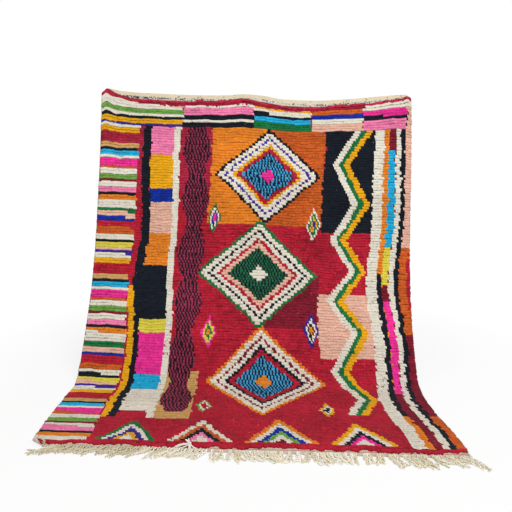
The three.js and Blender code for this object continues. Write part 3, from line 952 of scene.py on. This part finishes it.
def top_weft(shot, shots, warps):
    """From the pile up: grey shots, a speckled band of dark ends, and cream to the edge."""
    share = (shot + 0.5) / shots
    across = np.linspace(0, WIDTH, warps)
    thick = np.interp(across, np.linspace(0, WIDTH, CLUSTERS), clusters) * look_up(FLECKED, 1, across)
    dark = speckle[shot // 2, :warps] < np.interp(share, *FLECK_LINE) * thick
    colour = np.where(dark[:, None], DARK_WEFT, GREY_WEFT if share < GREY_SHARE else CREAM_WEFT)
    red = share < look_up(HELD_CLIMB, 1, across) + band_weaver.uniform(*RED_EDGE, warps)
    return np.where(red[:, None], linear(YARNS["scarlet"]), colour)


PINK_MARKS = 24
PINKEST = 0.9


def front_weft(shot, shots, warps):
    """Cream, with pinkish shots where a little dye has run."""
    marks = np.linspace(0, warps, PINK_MARKS)
    pink = np.interp(np.arange(warps), marks, band_weaver.uniform(0, PINKEST, PINK_MARKS))
    return GREY_WEFT + (PINK_WEFT - GREY_WEFT) * pink[:, None]


# Undyed wool weft, tightly spun and beaten: matt, slightly hairy, with fine cross ribs and
# painted shade in the hollows between them. Its hairs are drawn 2 to 3 mm apart, because real
# ones are too fine to show, and its smudges 50 mm.
HAIRS = 420.0  # for each metre
SMUDGES = 18.0  # for each metre
flat_wool, tree, colour, lay = new_wool("weft_faced_undyed_wool")
depth = add_node(tree, "Attribute", attribute_name="deep").outputs["Fac"]
hair = add_node(tree, "TexNoise", {"Vector": lay, "Scale": HAIRS, "Detail": 3.0})
smudge = add_node(tree, "TexNoise", {"Vector": lay, "Scale": SMUDGES, "Detail": 2.0})
hairy = add_node(tree, "MapRange", {"Value": hair, "To Min": 0.80, "To Max": 1.14})
grimy = add_node(tree, "MapRange", {"Value": smudge, "To Min": 0.86, "To Max": 1.10})
# painted shade: 16% darker in the hollows between shots
hollow_shade = add_node(tree, "MapRange", {"Value": depth, "To Min": 1.0, "To Max": 0.84})
matt_surface(tree, shaded(tree, colour, hairy, grimy, hollow_shade), hair,
             depth=0.0008, strength=0.6, roughness=0.93)

top_end = flat_weave("flat_weave_top", FIELD_LENGTH + SEAM, FIELD_LENGTH + TOP_BAND, top_weft)
front_end = flat_weave("flat_weave_front", -FRONT_BAND, -SEAM, front_weft)
for piece, node, slot in (
    (top_end, "kilim_band_top", "kilim_wool_top"), (front_end, "kilim_band_front", "kilim_wool_front"),
):
    piece.data.materials.append(flat_wool)
    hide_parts(node)


# ====================================================================== warp fringe
# Where the rug was cut from the loom its warps are twisted together by threes and fours into
# cords. They start at the flat-woven end and lie on the floor in bunches, bent as they fell.

FRINGE_START = 0.102
CORD_RADIUS = 0.0046
CORD_TWIST = 0.024  # length of one turn
CORD_ROUND = 8
WAIST = 0.22  # half the share of its radius that a furrow takes off
CORD_STATIONS = 27
CORD_TAPER = ((0, 0.05, 0.12, 0.90, 0.97, 1), (0.9, 1.2, 1, 1.1, 1, 0.65))
COVERED = ((0.50, 0.014), (0.90, 0.006))  # how far up the flat weave the cords begin, by place
MOST_LEAN = 96  # degrees from straight out of the rug
# Where bunches lie, from left to right: from, to, how many, their cords, the lean of the first
# and last in degrees, how far they turn as they fall, their reach, and the share of their own
# breadth that they fill at the flat weave and at their ends.
FRINGE_RUNS = (
    (FRINGE_START, 0.150, 2, 5, -64, -58, 0, 0.122, 0.9, 0.6),
    (0.150, 0.830, 22, 4, -50, -34, -14, 0.096, 1.0, 0.9),
    (0.830, 0.950, 3, 4, -6, 4, 0, 0.092, 0.30, 1.0),
    (0.950, 1.140, 6, 5, -2, 10, 60, 0.098, 1.0, 1.0),
    (1.140, 1.290, 4, 5, -4, 6, 0, 0.094, 0.30, 1.25),
    (1.290, 1.450, 5, 5, -4, 10, 30, 0.094, 1.0, 1.0),
    (1.450, 1.620, 3, 6, -14, 12, 10, 0.094, 0.55, 0.6),
    (1.620, 1.935, 5, 8, 16, 30, 44, 0.118, 0.70, 0.55),
    (1.935, 2.000, 1, 9, 50, 50, 6, 0.126, 0.90, 0.60),
)
# How bunches and cords differ from their neighbours, the angles in degrees.
BUNCH_LEAN = 6
BUNCH_TURN = 16
CORD_TURN = 18
BUNCH_REACH = (0.90, 1.08)
CORD_REACH = (0.86, 1.08)
OUTER_SHORTER = 0.25
KINK_LENGTH = (0.026, 0.038)
KINK_ANGLE = (22, 46)
HOOK_ANGLE = (50, 110)
HOOKED = (0, 0, 1)  # one cord in three
CORD_THICKNESS = (0.90, 1.10)
CROSSING = 1.3  # how far a cord lies over its neighbour, in radii
CLEARANCE = 1.02  # of a cord's middle from the floor, in radii
# From the weave to a cord's end: how much it has of its lean and kinks, and of its hook, and how
# much of the crossing it makes.
LEAN_GROWS = ((0, 0.25), (0, 1))
HOOK_GROWS = ((0.6, 1), (0, 1))
CROSSING_GROWS = ((0, 0.2, 0.85, 1), (0.3, 1, 1, 0.4))
# A loop of the corner's own warps stands out of its curl. Places in the frame before its shift.
CORNER_LOOP = (
    (-0.990, 0.030, 0.042), (-0.985, 0.014, 0.050), (-0.975, 0.008, 0.050), (-0.969, 0.006, 0.042),
    (-0.972, 0.006, 0.029), (-0.982, 0.008, 0.012),
)
twister = np.random.default_rng(41)
# Round a cord: the furrows between its two plies are deep, and ply_depth sets the painted shade
# in them.
cord_angle = np.linspace(0, 2 * math.pi, CORD_ROUND, endpoint=False)
ply_reach = 1 - WAIST + WAIST * np.cos(2 * cord_angle)
ply_depth = 0.5 - 0.5 * np.cos(2 * cord_angle)


def twisted_cord(path, radius, turns_off=0.0):
    """A two-ply cord along a path: a waisted section turned about it, with a blunt end."""
    ahead = np.gradient(path, axis=0)
    ahead /= np.linalg.norm(ahead, axis=1, keepdims=True)
    beside = np.cross(ahead, (0, 0, 1))
    beside /= np.linalg.norm(beside, axis=1, keepdims=True)
    above = np.cross(beside, ahead)
    run = length_of(path)
    thick = radius * np.interp(run / run[-1], *CORD_TAPER)
    turned = cord_angle[None] + 2 * math.pi * (run[:, None] / CORD_TWIST + turns_off)
    reach = thick[:, None] * ply_reach[None]
    return (
        path[:, None]
        + beside[:, None] * (np.cos(turned) * reach)[..., None]
        + above[:, None] * (np.sin(turned) * reach)[..., None]
    )


def fallen_bunch(middle, breadth, count, lean, turn, reach, at_weave, at_ends):
    """The paths of the cords of one bunch. They leave the flat-woven end side by side, turn the
    same way as they fall, are kinked by their twist, and lie over one another."""
    share = np.linspace(0, 1, CORD_STATIONS)
    covered = look_up(COVERED, 1, middle)
    start = place(covered - FRONT_BAND, middle, 0)
    bend = turn + twister.normal(0, BUNCH_TURN)
    paths = []
    for strand in range(count):
        slot = (strand + 0.5) / count - 0.5
        length = reach * (1 - OUTER_SHORTER * abs(slot)) * twister.uniform(*CORD_REACH)
        kinks = length / twister.uniform(*KINK_LENGTH)
        kink = twister.uniform(*KINK_ANGLE) * np.sin(2 * math.pi * (share * kinks + twister.random()))
        hook = twister.choice(HOOKED) * twister.uniform(*HOOK_ANGLE) * np.sign(bend)
        own_bend = (bend + twister.normal(0, CORD_TURN)) * share**1.5
        own_bend += hook * np.interp(share, *HOOK_GROWS)
        angle = (lean + kink) * np.interp(share, *LEAN_GROWS) + own_bend
        angle = np.radians(np.clip(angle, -MOST_LEAN, MOST_LEAN))[:-1]
        step = length / (CORD_STATIONS - 1)
        aside = slot * breadth * (at_weave + (at_ends - at_weave) * share)
        x = start[0] + aside + summed(np.sin(angle)) * step
        y = start[1] - summed(np.cos(angle)) * step
        over = BAND_THICKNESS * np.interp(share * length, (covered * 0.8, covered * 2), (1, 0))
        crossing = (strand % 2 + 0.25 * np.sin(2 * math.pi * share * kinks)) * CORD_RADIUS * CROSSING
        lift = over + crossing * np.interp(share, *CROSSING_GROWS)
        paths.append(np.stack((x, y, CORD_RADIUS * CLEARANCE + np.maximum(lift, 0)), -1))
    return paths


def smooth_path(points, count):
    """Places spaced evenly along a smooth run through a few points."""
    rows = np.insert(np.array(points), 0, np.linspace(0, 1, len(points)), axis=1)
    return np.stack([look_up(rows, column, np.linspace(0, 1, count)) for column in (1, 2, 3)], -1)


cords = []
for low, high, bunches, count, lean_first, lean_last, turn, reach, at_weave, at_ends in FRINGE_RUNS:
    pitch = (high - low) / bunches
    for bunch in range(bunches):
        lean = lean_first + (lean_last - lean_first) * (bunch + 0.5) / bunches
        lean += twister.normal(0, BUNCH_LEAN)
        middle = low + pitch * (bunch + 0.5)
        own_reach = reach * twister.uniform(*BUNCH_REACH)
        for path in fallen_bunch(middle, pitch, count, lean, turn, own_reach, at_weave, at_ends):
            radius = CORD_RADIUS * twister.uniform(*CORD_THICKNESS)
            cords.append(twisted_cord(path, radius, twister.random()))
cords.append(twisted_cord(smooth_path(CORNER_LOOP, CORD_STATIONS) + shift, CORD_RADIUS))
WARP_SHADES = [linear(colour) for colour in ("#F8F0DA", "#EFE6CA", "#FBF5E8", "#E8DDC0")]
END_TINT = np.array((0.10, 0.12, 0.20))  # how much darker and yellower the cords are drawn towards the fringe's ends
END_TINT_SHARE = ((-0.60, 1.0), (-0.40, 0.0), (0.55, 0.0), (0.75, 0.7))  # X, and the share of that darkening, which also deepens the painted furrow shade
LEAST_FURROW_SHADE = 0.6  # how strong the painted furrow shade is where cords are not darkened
WARP_TONES = (0.94, 1.04)
cord_yarns = []
furrows = []
for cord in cords:
    tinted = look_up(END_TINT_SHARE, 1, cord[0, 0, 0])
    yarn = WARP_SHADES[twister.integers(len(WARP_SHADES))] * twister.uniform(*WARP_TONES)
    cord_yarns.append(np.tile(yarn * (1 - END_TINT * tinted), (CORD_STATIONS - 1, 1)))
    furrows.append(ply_depth * (LEAST_FURROW_SHADE + (1 - LEAST_FURROW_SHADE) * tinted))
fringe = rolls_piece("warp_fringe_cords", cords, cord_yarns, furrows, columns=6)

# Ivory wool warp, undyed and hard spun: matt and creamy, with painted shade in the hollows of its
# twist, and fibres 1 by 4 mm that lie aslant along it.
FIBRES = (260, 1100, 1)  # for each metre, along the cord and round it
FIBRE_SLANT = 0.6
warp_wool, tree, colour, lay = new_wool("undyed_twisted_warp_wool")
depth = add_node(tree, "Attribute", attribute_name="deep").outputs["Fac"]
fibres = add_node(tree, "Mapping", {
    "Vector": lay, "Rotation": (0, 0, FIBRE_SLANT), "Scale": FIBRES})
hair = add_node(tree, "TexNoise", {"Vector": fibres, "Scale": 1.0, "Detail": 3.0})
hairy = add_node(tree, "MapRange", {"Value": hair, "To Min": 0.84, "To Max": 1.14})
# painted shade in the furrows of the twist
furrow = add_node(tree, "MapRange", {
    "Value": depth, "From Min": 0.35, "To Min": 1.0, "To Max": 0.54})
matt_surface(tree, shaded(tree, colour, hairy, furrow), hair,
             depth=0.0006, strength=0.6, roughness=0.92)
fringe.data.materials.append(warp_wool)
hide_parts("warp_fringe")


# ====================================================================== turned-back bunch
# One bunch of the fringe has flipped over the front edge. It is tied in a small overhand knot,
# whose two stiff ends stand up on the pile, and its cords run off left and right to the fringe.

# How thick the cords are beside the fringe's, and their places along and across the rug and
# heights, from the knot outwards.
TIE = (0.007, 0.743, 0.0215)
TIED_CORDS = (
    (0.80, (TIE, (0.014, 0.738, 0.0245), (0.021, 0.731, 0.0270), (0.027, 0.723, 0.0285))),
    (0.80, (TIE, (0.016, 0.741, 0.0250), (0.025, 0.739, 0.0280), (0.034, 0.737, 0.0300))),
    (0.85, (TIE, (0.008, 0.726, 0.0200), (0.005, 0.706, 0.0185), (-0.004, 0.684, 0.0130),
            (-0.018, 0.672, 0.0090))),
    (0.85, (TIE, (0.003, 0.726, 0.0190), (0.000, 0.708, 0.0170), (-0.008, 0.690, 0.0120),
            (-0.022, 0.682, 0.0090))),
    (0.85, (TIE, (-0.004, 0.730, 0.0160), (-0.011, 0.715, 0.0120), (-0.017, 0.698, 0.0100),
            (-0.026, 0.690, 0.0080))),
    (0.85, (TIE, (-0.004, 0.747, 0.0170), (-0.016, 0.752, 0.0110), (-0.030, 0.756, 0.0080),
            (-0.044, 0.756, 0.0060))),
    (0.85, (TIE, (-0.003, 0.742, 0.0170), (-0.015, 0.744, 0.0110), (-0.030, 0.744, 0.0080),
            (-0.046, 0.740, 0.0060))),
    (0.85, (TIE, (0.000, 0.752, 0.0180), (-0.008, 0.762, 0.0130), (-0.014, 0.774, 0.0100),
            (-0.018, 0.788, 0.0080))),
)
TIED_STATIONS = 24
WINDING_RADII = (0.0068, 0.0056)
WINDING_SLOPE = 0.0011
WINDING_START = 0.005  # short of the knot's middle
WINDING_STATIONS = 26
WINDING_THICK = 0.8  # beside the fringe's cords
TIED_FURROW_SHADE = 0.8  # how strong the painted shade in its furrows is
turned = [
    twisted_cord(place(*smooth_path(points, TIED_STATIONS).T), CORD_RADIUS * thick, twister.random())
    for thick, points in TIED_CORDS
]
# the knot: a cord wound once and a half round the bunch
wound = np.linspace(0, 3 * math.pi, WINDING_STATIONS)
winding = place(
    TIE[0] - WINDING_START + WINDING_SLOPE * wound,
    TIE[1] + WINDING_RADII[0] * np.cos(wound),
    TIE[2] + WINDING_RADII[1] * np.sin(wound),
)
turned.append(twisted_cord(winding, CORD_RADIUS * WINDING_THICK))
turned_yarns = [np.tile(WARP_SHADES[2], (len(cord) - 1, 1)) for cord in turned]
turned_depths = [ply_depth * TIED_FURROW_SHADE] * len(turned)
turned_back = rolls_piece("turned_back_cords", turned, turned_yarns, turned_depths, columns=3)
turned_back.data.materials.append(warp_wool)
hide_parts("turned_back_tassel")


# ====================================================================== studio
# A plain pale floor under soft light from above and in front, and the viewer's place. The eye
# sees the floor almost as bright as white paper, but for the rug's shadow on it.

FLOOR_HALF = 7.0
FLOOR_COLOUR = "#F4F4F4"
FLOOR_GLOW = 0.78  # how much of the floor's own white the eye gets, over its lit colour
NEAR_FLOOR = 1.3  # from the middle
FAR_FLOOR = 2.2
floor_mesh = bpy.data.meshes.new("floor")
floor_corners = [(x * FLOOR_HALF, y * FLOOR_HALF, 0) for x, y in ((-1, -1), (1, -1), (1, 1), (-1, 1))]
floor_mesh.from_pydata(floor_corners, [], [(0, 1, 2, 3)])
floor = bpy.data.objects.new("floor", floor_mesh)
bpy.context.scene.collection.objects.link(floor)
floor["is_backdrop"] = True


def seen_plainly(tree):
    """1 for rays from the eye, straight or by way of a mirror or glass, and 0 for the rest."""
    rays = add_node(tree, "LightPath")
    seen = rays.outputs["Is Camera Ray"]
    for kind in ("Is Glossy Ray", "Is Transmission Ray"):
        seen = add_node(tree, "Math", {0: seen, 1: rays.outputs[kind]}, operation="MAXIMUM")
    return seen


paper, tree = new_material("matt_white_paper")
matt = add_node(tree, "BsdfDiffuse", {"Color": (*linear(FLOOR_COLOUR), 1)})
white = add_node(tree, "Emission", {"Color": (1, 1, 1, 1), "Strength": 1.0})
where = add_node(tree, "TexCoord")
from_middle = add_node(tree, "VectorMath", {0: where.outputs["Object"]}, operation="LENGTH")
far = add_node(tree, "MapRange", {
    "Value": from_middle.outputs["Value"], "From Min": NEAR_FLOOR, "From Max": FAR_FLOOR,
    "To Min": FLOOR_GLOW, "To Max": 1.0})
glow = add_node(tree, "Math", {0: far, 1: seen_plainly(tree)}, operation="MULTIPLY")
mixed = add_node(tree, "MixShader", {0: glow, 1: matt, 2: white})
add_node(tree, "OutputMaterial", {"Surface": mixed})
floor_mesh.materials.append(paper)

ROOM_LIGHT = 0.55
world = bpy.data.worlds.new("studio")
bpy.context.scene.world = world
world.use_nodes = True
tree = world.node_tree
tree.nodes.clear()
level = add_node(tree, "MapRange", {
    "Value": seen_plainly(tree), "To Min": ROOM_LIGHT, "To Max": 1.0})
background = add_node(tree, "Background", {"Color": (1, 1, 1, 1), "Strength": level})
add_node(tree, "OutputWorld", {"Surface": background})

# Soft square lamps, faced to the middle of the rug: their places, sizes and watts.
LIT_POINT = Vector((0, 0, 0.8))
for name, at, size, power in (
    ("key", (1.7, -2.7, 4.4), 2.2, 136), ("fill", (-3.0, -2.6, 2.4), 2.5, 30),
):
    light = bpy.data.lights.new(name, "AREA")
    light.size = size
    light.energy = power
    lamp = bpy.data.objects.new(name, light)
    lamp.location = at
    lamp.rotation_euler = (LIT_POINT - Vector(at)).to_track_quat("-Z", "Y").to_euler()
    bpy.context.scene.collection.objects.link(lamp)

EYE_HEIGHT = 1.324
EYE_BACK = -2.023  # from the flat rug's own origin
EYE_TILT = 11.6
LENS = 34.45
FILM_WIDTH = 36.0
eye = bpy.data.cameras.new("eye")
eye.lens = LENS
eye.sensor_width = FILM_WIDTH
camera = bpy.data.objects.new("eye", eye)
camera.location = (shift[0], EYE_BACK + shift[1], EYE_HEIGHT)
camera.rotation_euler = (math.radians(90 - EYE_TILT), 0, 0)
bpy.context.scene.collection.objects.link(camera)
bpy.context.scene.camera = camera
bpy.context.scene.view_settings.view_transform = "Standard"

low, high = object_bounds()
